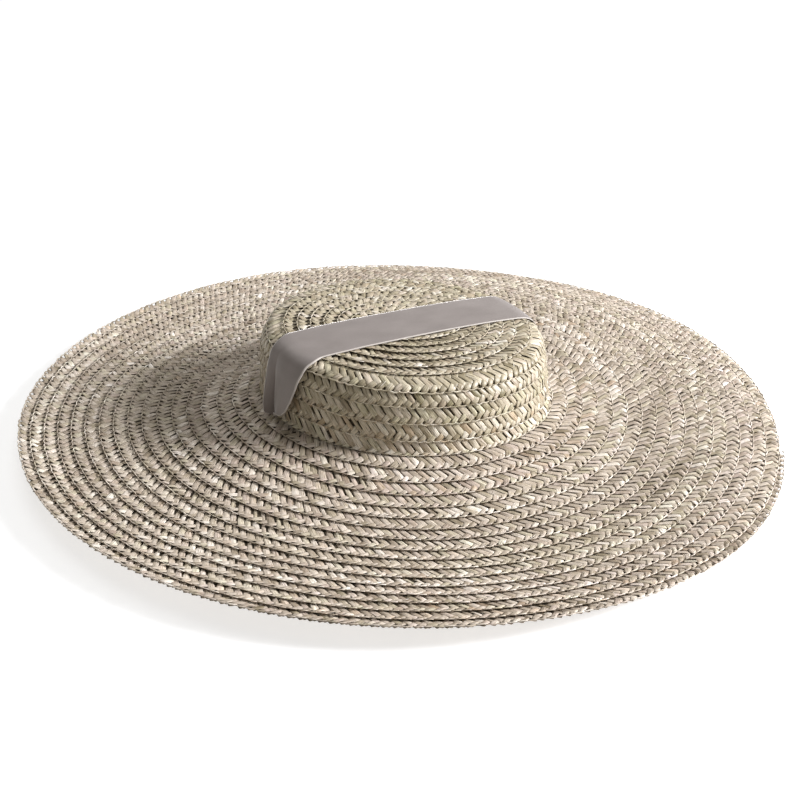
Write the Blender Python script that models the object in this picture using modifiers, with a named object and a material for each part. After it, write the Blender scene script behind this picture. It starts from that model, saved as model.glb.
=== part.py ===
"""Straw hat with a very wide, slowly waving brim and a cloth ribbon laid over its low oval crown.

The hat lies on the plane z = 0, its crown around the z axis. +Z is up, -Y is towards the viewer
and +X is to the viewer's right. Metres throughout.
"""
import math

import bmesh
import bpy
from mathutils import Matrix, Vector

# Sizes of the straw body
CROWN_RADIUS = 0.0920  # mean outside radius of the oval crown at its base
OVAL = 0.0053  # added to that radius the long way, taken off it the short way
OVAL_TURN = math.radians(17.0)  # the long way, measured from +X
OVAL_EASE = 0.0300  # inside this radius the rings turn round
CROWN_RISE = 0.0488  # crown base to the middle of its top
SEAT = 0.0153  # crown base above the lowest part of the brim
LEAN_RIGHT = math.radians(2.9)  # the crown's axis leans a little to the right
LEAN_BACK = math.radians(0.55)
TOP_SHIFT = -0.0049  # the crown's top sits this far to the left of its base
BRIM_WIDTH = 0.1570  # crown base to rim, measured flat
SEAM_GAP = 0.0003  # between crown and brim, where the sewn seam runs
SEAM_LAND = 0.0010  # flat part of the brim beside the crown's foot

# Sewn straw braid: each row overlaps the next one outward, so its outer edge stands up
STRAW = 0.0011  # from the middle of the wall to its inner face, or the brim's lower face
BRAID_LOW = 0.0005  # the outer face above the middle of the wall, where a row starts
BRAID_HIGH = 0.0014  # and where it ends
BRAID_STEP = 0.0007  # the length of the step down between two rows
BRIM_ROWS = 17
TOP_ROWS = 8
TOP_PITCH = 0.0088
WALL_ROWS = 5

# Ribbon
RIBBON_WIDTH = 0.0380
RIBBON_THICK = 0.0010
RIBBON_TURN = math.radians(33.4)  # its direction across the crown, from +X to the back right
RIBBON_ASIDE = -0.0048  # its middle line passes this far behind the middle of the crown
RIBBON_CLEAR = 0.0009  # its inner face above the outer edges of the braid rows

# Fineness of the mesh
SEGMENTS = 60  # once round the hat
INSIDE_SHARES = (1.0, 0.86, 0.72, 0.64, 0.59, 0.54, 0.36, 0.18, 0.0)  # rings inside the crown
UNDER_RINGS = 10
RIBBON_ROWS = 44
RIBBON_COLUMNS = 8
SAME_POINT = 0.000001
STEP_ANGLE = math.radians(35.0)  # a braid step is sharper than this
HEM_ANGLE = math.radians(50.0)  # and so is the edge of the ribbon

# The crown's section from the middle of its top to its base
CROWN_SECTION = (
    # share of the crown radius, share of the crown rise
    (0.000, 1.000),
    (0.280, 1.000),
    (0.560, 0.987),
    (0.825, 0.960),
    (0.890, 0.930),
    (0.937, 0.870),
    (0.964, 0.720),
    (0.978, 0.450),
    (0.989, 0.180),
    (1.000, 0.000),
)

# The brim's height above the floor by share of its width, as shares of SEAT
BRIM_WAVE = (
    # share, level, right side, back side, sides, diagonal, three lobes, four lobes, and turned
    (0.00, 1.00, -0.30, -0.06, 0.00, 0.00, 0.00, 0.00, 0.00),
    (0.06, 0.86, -0.26, -0.01, -0.01, 0.08, -0.01, -0.03, 0.02),
    (0.14, 0.71, -0.18, 0.05, -0.02, 0.17, -0.02, -0.05, 0.04),
    (0.25, 0.55, -0.09, 0.12, -0.03, 0.25, -0.03, -0.05, 0.05),
    (0.40, 0.43, 0.01, 0.18, -0.05, 0.31, -0.05, -0.01, 0.05),
    (0.55, 0.37, 0.05, 0.18, -0.07, 0.31, -0.06, 0.03, 0.03),
    (0.70, 0.37, 0.04, 0.12, -0.08, 0.27, -0.04, 0.05, 0.02),
    (0.85, 0.38, -0.04, -0.03, -0.07, 0.21, 0.02, 0.05, 0.03),
    (1.00, 0.39, -0.21, -0.27, -0.03, 0.12, 0.12, -0.01, 0.06),
)

# How the ribbon gathers on its way down the crown wall
GATHER_FRONT = (
    # share of the way down, left and right half by half the width, their lifts by the width
    (0.00, 1.00, 1.00, 0.00, 0.00),
    (0.14, 0.82, 1.15, 0.00, 0.03),
    (0.28, 0.68, 1.10, 0.01, 0.06),
    (0.46, 0.69, 0.99, 0.02, 0.09),
    (0.65, 0.82, 0.84, 0.04, 0.13),
    (0.82, 0.95, 0.66, 0.05, 0.16),
    (0.93, 1.00, 0.46, 0.06, 0.16),
    (1.00, 1.00, 0.25, 0.04, 0.05),
)
GATHER_BACK = (
    (0.00, 1.00, 1.00, 0.00, 0.00),
    (0.30, 0.95, 1.00, 0.02, 0.02),
    (0.65, 0.80, 0.85, 0.05, 0.06),
    (1.00, 0.60, 0.65, 0.06, 0.08),
)
# Share of the ribbon's half length that lies on the crown's flat top
TOP_SHARE = 0.56
RIBBON_END = 0.0026  # the ribbon's ends stop this far above the crown's foot


def table_value(table, share, column):
    """Value of one column of a table at a share, eased between its rows."""
    if share <= table[0][0]:
        return table[0][column]
    for low, high in zip(table, table[1:]):
        if share <= high[0]:
            part = (share - low[0]) / (high[0] - low[0])
            return low[column] + (high[column] - low[column]) * part
    return table[-1][column]


def section_lengths():
    """Points of the crown's section in metres, with the length run along it to each."""
    points = [(CROWN_RADIUS * share, CROWN_RISE * rise) for share, rise in CROWN_SECTION]
    lengths = [0.0]
    for (r0, z0), (r1, z1) in zip(points, points[1:]):
        lengths.append(lengths[-1] + math.hypot(r1 - r0, z1 - z0))
    return points, lengths


def crown_point(length, proud):
    """Point of the crown's section at a length from its middle, lifted off the wall's middle."""
    points, lengths = section_lengths()
    length = min(max(length, 0.0), lengths[-1])
    index = 0
    while index < len(lengths) - 2 and lengths[index + 1] < length:
        index += 1
    run = lengths[index + 1] - lengths[index]
    part = (length - lengths[index]) / run
    (r0, z0), (r1, z1) = points[index], points[index + 1]
    across, down = (r1 - r0) / run, (z0 - z1) / run
    # the normals of the two neighbouring stretches are blended, so the lifted line stays smooth
    if part < 0.5 and index > 0:
        (ra, za), blend = points[index - 1], 0.5 - part
        near = lengths[index] - lengths[index - 1]
        across_b, down_b = (r0 - ra) / near, (za - z0) / near
    elif part >= 0.5 and index < len(points) - 2:
        (rb, zb), blend = points[index + 2], part - 0.5
        near = lengths[index + 2] - lengths[index + 1]
        across_b, down_b = (rb - r1) / near, (z1 - zb) / near
    else:
        across_b, down_b, blend = across, down, 0.0
    across = across * (1.0 - blend) + across_b * blend
    down = down * (1.0 - blend) + down_b * blend
    size = math.hypot(across, down)
    radius = r0 + (r1 - r0) * part + proud * down / size
    height = z0 + (z1 - z0) * part + proud * across / size
    return max(radius, 0.0), height


def crown_edges():
    """Lengths along the crown's section at which one braid row ends and the next starts."""
    total = section_lengths()[1][-1]
    shoulder = section_lengths()[1][3]
    top = [shoulder - TOP_PITCH * (TOP_ROWS - k) for k in range(TOP_ROWS + 1)]
    wall = [shoulder + (total - shoulder) * (k + 1) / WALL_ROWS for k in range(WALL_ROWS)]
    return top + wall


def oval(radius, angle):
    """Plan position on the oval ring that has this mean radius."""
    extra = OVAL * min(1.0, radius / OVAL_EASE)
    turned = 2.0 * OVAL_TURN - angle
    x = radius * math.cos(angle) + extra * math.cos(turned)
    y = radius * math.sin(angle) + extra * math.sin(turned)
    return x, y


def place_crown(radius, angle, height):
    """Position of a point of the crown: oval, shifted with height, leaning, above the floor."""
    x, y = oval(radius, angle)
    x += TOP_SHIFT * min(1.0, height / CROWN_RISE)
    lean = Matrix.Rotation(LEAN_RIGHT, 3, "Y") @ Matrix.Rotation(-LEAN_BACK, 3, "X")
    return lean @ Vector((x, y, height)) + Vector((0.0, 0.0, SEAT))


def brim_height(share, radius, angle):
    """Height of the middle of the brim's wall above the floor."""
    waves = (
        1.0,
        math.cos(angle),
        math.sin(angle),
        math.cos(2.0 * angle),
        math.sin(2.0 * angle),
        math.sin(3.0 * angle),
        math.cos(4.0 * angle),
        math.sin(4.0 * angle),
    )
    height = SEAT * sum(table_value(BRIM_WAVE, share, k + 1) * wave for k, wave in enumerate(waves))
    # at the seam it follows the leaning base of the crown
    seam = max(0.0, 1.0 - max(share, 0.0) / BRIM_WAVE[1][0])
    base = place_crown(radius, angle, 0.0).z
    return height * (1.0 - seam) + base * seam


def turned_body(name, profile, closed):
    """Turn a section once round the z axis into one closed mesh."""
    body = bmesh.new()
    verts = [body.verts.new((radius, 0.0, height)) for radius, height in profile]
    pairs = list(zip(verts, verts[1:]))
    if closed:
        pairs.append((verts[-1], verts[0]))
    edges = [body.edges.new(pair) for pair in pairs]
    bmesh.ops.spin(
        body,
        geom=verts + edges,
        cent=(0.0, 0.0, 0.0),
        axis=(0.0, 0.0, 1.0),
        dvec=(0.0, 0.0, 0.0),
        angle=2.0 * math.pi,
        steps=SEGMENTS,
        use_merge=True,
    )
    bmesh.ops.remove_doubles(body, verts=body.verts, dist=SAME_POINT)
    mesh = bpy.data.meshes.new(name)
    body.to_mesh(mesh)
    body.free()
    return mesh


def finish_mesh(mesh, angle):
    """Face the surface outward and shade it smooth except across its steps."""
    body = bmesh.new()
    body.from_mesh(mesh)
    bmesh.ops.recalc_face_normals(body, faces=body.faces)
    body.to_mesh(mesh)
    body.free()
    mesh.shade_smooth()
    mesh.set_sharp_from_angle(angle=angle)


def make_crown():
    """Low crown with stepped braid rows outside and a smooth hollow for the head inside."""
    total = section_lengths()[1][-1]
    edges = crown_edges()
    profile = [(0.0, crown_point(0.0, BRAID_HIGH)[1])]
    for edge in edges[:-1]:
        profile.append(crown_point(edge, BRAID_HIGH))
        profile.append(crown_point(edge + BRAID_STEP, BRAID_LOW))
    profile.append(crown_point(edges[-1], BRAID_LOW))
    profile += [crown_point(total * share, -STRAW) for share in INSIDE_SHARES]
    mesh = turned_body("crown", profile, False)
    for vert in mesh.vertices:
        radius = math.hypot(vert.co.x, vert.co.y)
        angle = math.atan2(vert.co.y, vert.co.x)
        vert.co = place_crown(radius, angle, vert.co.z)
    finish_mesh(mesh, STEP_ANGLE)
    return mesh


def make_brim():
    """Wide brim with stepped braid rows on top, bent into the slow wave of the straw."""
    pitch = BRIM_WIDTH / BRIM_ROWS
    profile = [(CROWN_RADIUS - STRAW, BRAID_LOW)]
    for row in range(BRIM_ROWS):
        inner = row * pitch + (BRAID_STEP if row else SEAM_LAND)
        profile.append((CROWN_RADIUS + inner, BRAID_LOW))
        profile.append((CROWN_RADIUS + (row + 1) * pitch, BRAID_HIGH))
    for ring in range(UNDER_RINGS, 0, -1):
        width = BRIM_WIDTH * ring / UNDER_RINGS
        profile.append((CROWN_RADIUS + width, -STRAW))
    profile.append((CROWN_RADIUS - STRAW, -STRAW))
    mesh = turned_body("brim", profile, True)
    for vert in mesh.vertices:
        radius = math.hypot(vert.co.x, vert.co.y)
        angle = math.atan2(vert.co.y, vert.co.x)
        share = (radius - CROWN_RADIUS) / BRIM_WIDTH
        x, y = oval(radius, angle)
        # under the crown wall the brim's top passes a small gap below the crown's base
        beside = max(0.0, radius - CROWN_RADIUS - SEAM_LAND)
        seam = max(0.0, 1.0 - beside * BRIM_ROWS / BRIM_WIDTH)
        drop = (BRAID_LOW + SEAM_GAP) * seam
        vert.co = (x, y, vert.co.z - drop + brim_height(share, radius, angle))
    finish_mesh(mesh, STEP_ANGLE)
    return mesh


def ring_beside(radius, side, direction):
    """Direction in which an oval ring passes this far beside a line through its middle."""
    angle = direction + math.asin(max(-0.9, min(0.9, side / radius)))
    for _ in range(4):
        x, y = oval(radius, angle)
        miss = side - (y * math.cos(direction) - x * math.sin(direction))
        angle += miss / (radius * math.cos(angle - direction))
    return angle


def ring_through(x, y):
    """Mean radius and direction at which an oval ring passes through a plan position."""
    ring_x, ring_y = x, y
    for _ in range(8):
        made_x, made_y = oval(math.hypot(ring_x, ring_y), math.atan2(ring_y, ring_x))
        ring_x += x - made_x
        ring_y += y - made_y
    return math.hypot(ring_x, ring_y), math.atan2(ring_y, ring_x)


def ribbon_point(along, across):
    """Middle of the ribbon's cloth: along runs from -1, front end, to 1, back end."""
    stand = BRAID_HIGH + RIBBON_CLEAR + RIBBON_THICK / 2.0
    points, lengths = section_lengths()
    shoulder = lengths[3]
    rim = points[3][0]
    end = 1.0 if along > 0.0 else -1.0
    direction = RIBBON_TURN if end > 0.0 else RIBBON_TURN + math.pi
    reach = abs(along)
    if reach <= TOP_SHARE:
        side = (RIBBON_ASIDE + across) * end
        x, y = oval(rim, ring_beside(rim, side, direction))
        forward = (x * math.cos(direction) + y * math.sin(direction)) * reach / TOP_SHARE
        x = forward * math.cos(direction) - side * math.sin(direction)
        y = forward * math.sin(direction) + side * math.cos(direction)
        radius, angle = ring_through(x, y)
        length = shoulder * min(1.0, radius / rim)
        lifted, height = crown_point(length, stand)
        return place_crown(radius + lifted - crown_point(length, 0.0)[0], angle, height)
    down = (reach - TOP_SHARE) / (1.0 - TOP_SHARE)
    table = GATHER_BACK if end > 0.0 else GATHER_FRONT
    lateral = across * 2.0 / RIBBON_WIDTH
    half = 1 if lateral > 0.0 else 2
    spread = across * table_value(table, down, half)
    lift = RIBBON_WIDTH * table_value(table, down, half + 2) * lateral * lateral
    length = shoulder + (lengths[-1] - RIBBON_END - shoulder) * down
    radius, height = crown_point(length, stand + lift)
    base = crown_point(length, 0.0)[0]
    angle = ring_beside(base, (RIBBON_ASIDE + spread) * end, direction)
    return place_crown(radius, angle, height)


def make_ribbon():
    """Cloth strip laid over the crown, from the seam at one side to the seam at the other."""
    body = bmesh.new()
    bmesh.ops.create_grid(body, x_segments=RIBBON_ROWS, y_segments=RIBBON_COLUMNS, size=1.0)
    for vert in body.verts:
        vert.co = ribbon_point(vert.co.x, vert.co.y * RIBBON_WIDTH / 2.0)
    mesh = bpy.data.meshes.new("ribbon")
    body.to_mesh(mesh)
    body.free()
    finish_mesh(mesh, HEM_ANGLE)
    return mesh


def make_material(name, colour, roughness):
    """Principled material of one sub-part."""
    material = bpy.data.materials.new(name)
    material.use_nodes = True
    shader = material.node_tree.nodes["Principled BSDF"]
    shader.inputs["Base Color"].default_value = (*colour, 1.0)
    shader.inputs["Roughness"].default_value = roughness
    shader.inputs["Metallic"].default_value = 0.0
    material.diffuse_color = (*colour, 1.0)
    return material


def add_part(collection, mesh, material):
    """Make one named object in the hat's collection."""
    mesh.materials.append(material)
    part = bpy.data.objects.new(mesh.name, mesh)
    collection.objects.link(part)
    return part


def main():
    """Build the hat."""
    for item in list(bpy.data.objects):
        bpy.data.objects.remove(item, do_unlink=True)
    hat = bpy.data.collections.new("straw_hat")
    bpy.context.scene.collection.children.link(hat)
    straw_crown = make_material("crown_straw", (0.50, 0.44, 0.28), 0.55)
    straw_brim = make_material("brim_straw", (0.56, 0.49, 0.34), 0.55)
    cloth = make_material("ribbon_cloth", (0.30, 0.26, 0.24), 0.85)
    parts = [
        add_part(hat, make_crown(), straw_crown),
        add_part(hat, make_brim(), straw_brim),
        add_part(hat, make_ribbon(), cloth),
    ]
    thick = parts[2].modifiers.new("cloth thickness", "SOLIDIFY")
    thick.thickness = RIBBON_THICK
    thick.offset = 0.0
    # the whole hat comes down until the brim's lowest point touches the floor
    lowest = min(vert.co.z for vert in parts[1].data.vertices)
    for part in parts:
        part.location.z = -lowest


main()
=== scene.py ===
"""Looks of a straw hat: a sewn spiral of plaited straw, with a cloth ribbon over its low crown.

The straw is modelled straw by straw on the crown's and the brim's own surface, above and below.
"""
import math

import bpy
import numpy as np
from mathutils import Matrix, Vector


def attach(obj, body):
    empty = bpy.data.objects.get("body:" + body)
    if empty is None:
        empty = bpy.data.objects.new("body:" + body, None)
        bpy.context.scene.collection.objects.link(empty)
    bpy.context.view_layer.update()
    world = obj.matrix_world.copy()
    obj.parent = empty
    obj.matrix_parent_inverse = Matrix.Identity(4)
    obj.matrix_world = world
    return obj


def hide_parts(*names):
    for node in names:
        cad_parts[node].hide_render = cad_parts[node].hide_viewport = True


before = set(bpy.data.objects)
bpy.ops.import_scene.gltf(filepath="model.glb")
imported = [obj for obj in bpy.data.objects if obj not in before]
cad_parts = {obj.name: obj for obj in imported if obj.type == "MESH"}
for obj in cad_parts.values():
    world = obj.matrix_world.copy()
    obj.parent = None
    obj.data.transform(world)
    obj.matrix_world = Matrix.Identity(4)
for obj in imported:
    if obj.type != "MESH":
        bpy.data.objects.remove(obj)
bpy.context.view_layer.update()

MM = 0.001
TURN = 2.0 * math.pi
random = np.random.default_rng(7)

# Sizes of the straw body, as the solids have them
CROWN_RADIUS = 92.0 * MM
OVAL = 5.3 * MM  # how far the crown's plan leaves the circle
OVAL_TURN = math.radians(17.0)
OVAL_EASE = 30.0 * MM  # inside this radius that distance shrinks with the ring
CROWN_RISE = 48.8 * MM
SEAT = 15.3 * MM  # height of the crown's base above the floor, before the lift
LEAN_RIGHT = math.radians(2.9)
LEAN_BACK = math.radians(0.55)
TOP_SHIFT = -4.9 * MM  # how far along x the crown's top stands from its base, before the lean
BRIM_WIDTH = 157.0 * MM
WALL_HALF = 1.1 * MM  # middle of the wall to its lower face

# The crown's section from the middle of its top to its base
CROWN_SECTION = np.array((
    # share of the crown radius, share of the crown rise
    (0.000, 1.000),
    (0.280, 1.000),
    (0.560, 0.987),
    (0.825, 0.960),
    (0.890, 0.930),
    (0.937, 0.870),
    (0.964, 0.720),
    (0.978, 0.450),
    (0.989, 0.180),
    (1.000, 0.000),
))

# The brim's height above the floor by share of its width, as shares of SEAT
BRIM_WAVE = np.array((
    # share, level, right side, back side, sides, diagonal, three lobes, four lobes, and turned
    (0.00, 1.00, -0.30, -0.06, 0.00, 0.00, 0.00, 0.00, 0.00),
    (0.06, 0.86, -0.26, -0.01, -0.01, 0.08, -0.01, -0.03, 0.02),
    (0.14, 0.71, -0.18, 0.05, -0.02, 0.17, -0.02, -0.05, 0.04),
    (0.25, 0.55, -0.09, 0.12, -0.03, 0.25, -0.03, -0.05, 0.05),
    (0.40, 0.43, 0.01, 0.18, -0.05, 0.31, -0.05, -0.01, 0.05),
    (0.55, 0.37, 0.05, 0.18, -0.07, 0.31, -0.06, 0.03, 0.03),
    (0.70, 0.37, 0.04, 0.12, -0.08, 0.27, -0.04, 0.05, 0.02),
    (0.85, 0.38, -0.04, -0.03, -0.07, 0.21, 0.02, 0.05, 0.03),
    (1.00, 0.39, -0.21, -0.27, -0.03, 0.12, 0.12, -0.01, 0.06),
))

# Where the rows of the spiral end, from the crown's base: minus is up the crown, plus is out on
# the brim. A whole turn count is at the braid's end, on the right side.
ROW_LINES = np.array((
    # turns, millimetres
    (-14.30, -134.0),
    (-5.19, -53.6),
    (-4.19, -41.3),
    (-3.19, -32.5),
    (-2.19, -21.5),
    (-1.19, -10.0),
    (-0.19, 1.8),
    (0.00, 3.2),
    (4.00, 44.8),
    (8.00, 83.8),
    (12.00, 119.8),
    (16.00, 153.3),
    (16.12, 154.6),
    (16.90, 158.4),
    (16.96, 157.2),
    (17.00, 154.8),
))
BRAID_END = math.radians(-5.0)
FIRST_TURN = -13.3
BRIM_TURN = -1.0  # from here on the braid belongs to the brim
LAST_TURN = 15.985
ROW_MIDDLE = 5.0 * MM  # from a row's outer edge to about its middle

# The plait, in millimetres: along the row, and across it from its outer edge. A spread is a
# standard deviation, a reach is the length over which a straw eases down, and slim is the share
# of its width that is gone there.
PITCH = 5.3
STRIP = 14.0  # whole width of the braid, of which the row beside it hides a part
MIDDLE = 6.0  # a long straw crosses this line at its column's place along the row
LONG_ANGLE = math.radians(55.0)
SHORT_ANGLE = math.radians(50.0)
MEET = 3.5  # the long and the short straws cross about this far from the outer edge
INNER_MEET = 10.9  # and again here, near the inner edge, on rows wider than this
INNER_MARGIN = 0.4  # by this much at least
MEET_SPREAD = 0.45
TUCK = 1.4  # how far a straw goes on under the straw that crosses it
SHIFT_SPREAD = 0.22
LONG_TURN_SPREAD = math.radians(2.6)
SHORT_TURN_SPREAD = math.radians(3.5)
BASE_SPREAD = 0.07
LONG_HALF = 2.05
SHORT_HALF = 1.93
WIDTH_SPREAD = 0.085
THIN_SHARE = 0.06  # this share of the long straws is thinner
THIN_BY = 0.30
BOW_UP = 0.14  # a straw's middle bows up, and its ends go down
END_DOWN = 0.46
END_REACH = 1.8
END_SLIM = 0.14
END_FLAT = 0.3
SHORT_DOWN = 0.50
SHORT_REACH = 1.9
SHORT_UNDER = 0.3
INNER_REACH = 1.6
INNER_UNDER = 1.0
INNER_BASE = 0.10
INNER_SPREAD = 0.04
SHORT_SLIM = 0.12
SHORT_START = 0.35  # from the outer edge, where the short straws narrow into the loops
START_DOWN = 0.22
START_NARROW = (0.25, 0.62)
SHORT_SPREAD = 0.16
ROOT_DIP = 0.40  # the long straws start this much lower, in the shadow of the row before
ROOT_REACH = 2.1
ROOT_UNDER = 0.4
ROOT_SLIM = 0.16  # share of the straws' width that is gone at their start
TOP_TURN = -4.6  # the turns before this one lie on the crown's top, with more open straws
TOP_REACH = 5.2
TOP_SLIM = 0.66
TOP_DIP = 0.62
OPEN_SIDE = math.radians(125.0)  # the crown's top is most open here, at the back and the left
OPEN_LEAST = 0.35
LAST_WIDER = 5.0  # below, the last row shows this much more of its width
LOOP_HALF = 0.42  # the straws fold back round the outer edge in thin loops
LOOP_FROM = 0.62
LOOP_OUT = 0.55
LOOP_OUT_SPREAD = 0.30
LOOP_BACK = 0.28
LOOP_OVER = 1.5  # longer than the pitch, so that the loops overlap
LOOP_BEFORE = 2.0
LOOP_BASE = -0.34
LOOP_BOW = 0.38
LOOP_SLIM = 0.28
LOOP_UP = 0.52
LOOP_PALER = 0.10
LOOP_SPREAD = 0.05
LOOP_WIDTH_SPREAD = 0.15
LOOP_UP_SPREAD = 0.12
EDGE_UP = 1.62  # height of a row's outer edge above the middle of the wall
ROOT_UP = 0.10  # and of its inner edge
UNDER_SHARE = 0.62  # below, the rows rise by this share of it
LEAST_UP = 0.05
STRAW_UP = 0.40  # how far a straw stands up in its middle
UP_SPREAD = 0.18
INNER_UP = 0.9
TILT = 0.14  # how far a straw's sides differ in height
# a straw's section: across by half its width, and up by STRAW_UP or its like; finer above
FINE_RING = ((-1.0, 0.0), (-0.72, 0.80), (0.0, 1.0), (0.72, 0.80), (1.0, 0.0))
PLAIN_RING = ((-1.0, 0.0), (-0.55, 0.95), (0.55, 0.95), (1.0, 0.0))
COARSE_STEPS = 3  # points along every straw below
UV_SPREAD = 900.0
UV_STEP = 3.7

# Looks of the straws
STRANDS = 7
STRAW_USES = 5  # a straw shows about this many times before the next one is laid in
TONE_SPREAD = 0.14
DRIFT = 0.06  # the tone also drifts slowly along the braid
DRIFT_COLUMNS = 25
COLUMN_SPREAD = 0.08

# Split ends and fibres that stick out
STRAY_COUNT = 420
STRAY_HALF = 0.17
STRAY_UP = 0.16
STRAY_LENGTHS = (2.5, 6.5)
STRAY_ALONG = (0.0, 5.0)
STRAY_ACROSS = (1.0, 7.0)
STRAY_SLANTS = (-52.0, 55.0, 12.0)  # degrees to the row
STRAY_SLANT_SPREAD = 9.0
STRAY_BASE = 0.34  # between its start, which lies lower, and its end, which sticks up
STRAY_DIP = 0.25
STRAY_RISES = (0.0, 0.9)
STRAY_WIDTHS = (0.7, 1.5)
STRAY_TAPER = 0.6
STRAY_LOW = (0.7, 0.0, 0.0)  # lowest and highest values of its look
STRAY_HIGH = (1.0, 0.5, 1.0)

FILLET = 3.5 * MM  # the straw turns from wall to brim round this
SECTION_ROUND = 4.0 * MM
WAVE_ROUND = 0.05
TABLE_SAMPLES = 1201
BRAID_SAMPLES = 60001


def smooth_columns(shares, values, reach):
    """Resample a table finely and round its corners by averaging over a reach to each side."""
    fine = np.linspace(shares[0], shares[-1], TABLE_SAMPLES)
    step = fine[1] - fine[0]
    half = max(1, int(reach / step))
    kernel = np.hanning(2 * half + 3)[1:-1]
    kernel /= kernel.sum()
    columns = []
    for column in values.T:
        line = np.interp(fine, shares, column)
        before = 2.0 * line[0] - line[half:0:-1]
        after = 2.0 * line[-1] - line[-2:-half - 2:-1]
        columns.append(np.convolve(np.concatenate((before, line, after)), kernel, "valid"))
    return fine, np.array(columns)


SECTION_POINTS = CROWN_SECTION * (CROWN_RADIUS, CROWN_RISE)
SECTION_RUNS = np.hypot(*np.diff(SECTION_POINTS, axis=0).T)
SECTION_LENGTHS = np.concatenate(((0.0,), np.cumsum(SECTION_RUNS)))
CROWN_LENGTH = SECTION_LENGTHS[-1]
SECTION_FINE, SECTION_SMOOTH = smooth_columns(SECTION_LENGTHS, SECTION_POINTS, SECTION_ROUND)
SECTION_RADII, SECTION_HEIGHTS = SECTION_SMOOTH
WAVE_SHARES, WAVE_COLUMNS = smooth_columns(BRIM_WAVE[:, 0], BRIM_WAVE[:, 1:], WAVE_ROUND)
LEAN = np.array(Matrix.Rotation(LEAN_RIGHT, 3, "Y") @ Matrix.Rotation(-LEAN_BACK, 3, "X"))


def oval(radius, angle):
    """Plan position on the oval ring that has this mean radius."""
    extra = OVAL * np.minimum(1.0, radius / OVAL_EASE)
    turned = 2.0 * OVAL_TURN - angle
    x = radius * np.cos(angle) + extra * np.cos(turned)
    y = radius * np.sin(angle) + extra * np.sin(turned)
    return x, y


def on_crown(radius, angle, height):
    """Position of a point of the crown: oval, shifted with height, leaning, above the floor."""
    x, y = oval(radius, angle)
    x = x + TOP_SHIFT * np.minimum(1.0, height / CROWN_RISE)
    points = np.stack((x, y, height + 0.0 * x), axis=-1) @ LEAN.T
    points[..., 2] += SEAT
    return points


def brim_level(share, angle):
    """Height of the middle of the brim's wall by the wave alone."""
    waves = (
        1.0,
        np.cos(angle),
        np.sin(angle),
        np.cos(2.0 * angle),
        np.sin(2.0 * angle),
        np.sin(3.0 * angle),
        np.cos(4.0 * angle),
        np.sin(4.0 * angle),
    )
    level = 0.0
    for column, wave in zip(WAVE_COLUMNS, waves):
        level = level + np.interp(share, WAVE_SHARES, column) * wave
    return SEAT * level


def on_brim(out, angle):
    """Position of a point of the brim, by its distance out from the crown's base."""
    radius = CROWN_RADIUS + out
    x, y = oval(radius, angle)
    share = out / BRIM_WIDTH
    height = brim_level(share, angle)
    seam = np.clip(1.0 - share / BRIM_WAVE[1, 0], 0.0, 1.0)
    base = on_crown(radius, angle, 0.0 * x)[..., 2]
    height = height * (1.0 - seam) + base * seam
    return np.stack((x, y, height), axis=-1)


def wall_middle(run, angle):
    """Middle of the hat's wall: run is the way down the crown, below zero, and out on the brim."""
    run, angle = np.broadcast_arrays(run, angle)

    def crown_at(length):
        where = np.clip(CROWN_LENGTH + length, 0.3 * MM, CROWN_LENGTH)
        radius = np.interp(where, SECTION_FINE, SECTION_RADII)
        height = np.interp(where, SECTION_FINE, SECTION_HEIGHTS)
        return on_crown(radius, angle, height)

    wall = crown_at(np.minimum(run, -FILLET))
    brim = on_brim(np.maximum(run, FILLET), angle)
    corner = on_crown(CROWN_RADIUS, angle, 0.0 * angle)
    part = np.clip((run + FILLET) / (2.0 * FILLET), 0.0, 1.0)[..., None]
    return wall * (1.0 - part) ** 2 + corner * 2.0 * part * (1.0 - part) + brim * part ** 2


def lift_of_hat():
    """How far the hat stands up so that the brim's lower face just touches the floor."""
    out = np.linspace(0.0, BRIM_WIDTH, 160)[:, None]
    angle = np.linspace(0.0, TURN, 361)[None, :]
    return WALL_HALF - on_brim(out, angle)[..., 2].min()


LIFT = lift_of_hat()


def surface(run, angle, height):
    """Points at a height above the middle of the wall, with the outer side as up."""
    step = 0.6 * MM
    turn = 0.004
    along = wall_middle(run + step, angle) - wall_middle(run - step, angle)
    round_ = wall_middle(run, angle + turn) - wall_middle(run, angle - turn)
    normal = np.cross(along, round_)
    normal /= np.maximum(np.linalg.norm(normal, axis=-1, keepdims=True), 1e-12)
    points = wall_middle(run, angle) + normal * height[..., None]
    points[..., 2] += LIFT
    return points


def row_line(turns):
    """Outer line of the row that ends at this many turns of the spiral, in metres of run."""
    return np.interp(turns, ROW_LINES[:, 0], ROW_LINES[:, 1]) * MM


def turn_angle(turns):
    """Direction round the hat at this many turns."""
    return BRAID_END + TURN * turns


def round_speed(turns):
    """Metres along the braid for each radian round the hat, near the middle of a row."""
    run = row_line(turns + 1.0) - ROW_MIDDLE
    angle = turn_angle(turns)
    ahead = wall_middle(run, angle + 0.01) - wall_middle(run, angle - 0.01)
    return np.maximum(np.linalg.norm(ahead, axis=-1) / 0.02, 1.5 * MM)


def plait_columns():
    """Turn counts of the plait's columns, one straw pitch apart along the braid."""
    fine = np.linspace(FIRST_TURN, LAST_TURN, BRAID_SAMPLES)
    pace = round_speed(fine) * TURN
    gone = np.concatenate(((0.0,), np.cumsum((pace[1:] + pace[:-1]) / 2.0 * np.diff(fine))))
    count = int(gone[-1] / (PITCH * MM))
    return np.interp(np.arange(count) * PITCH * MM, gone, fine)


COLUMNS = plait_columns()


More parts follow.
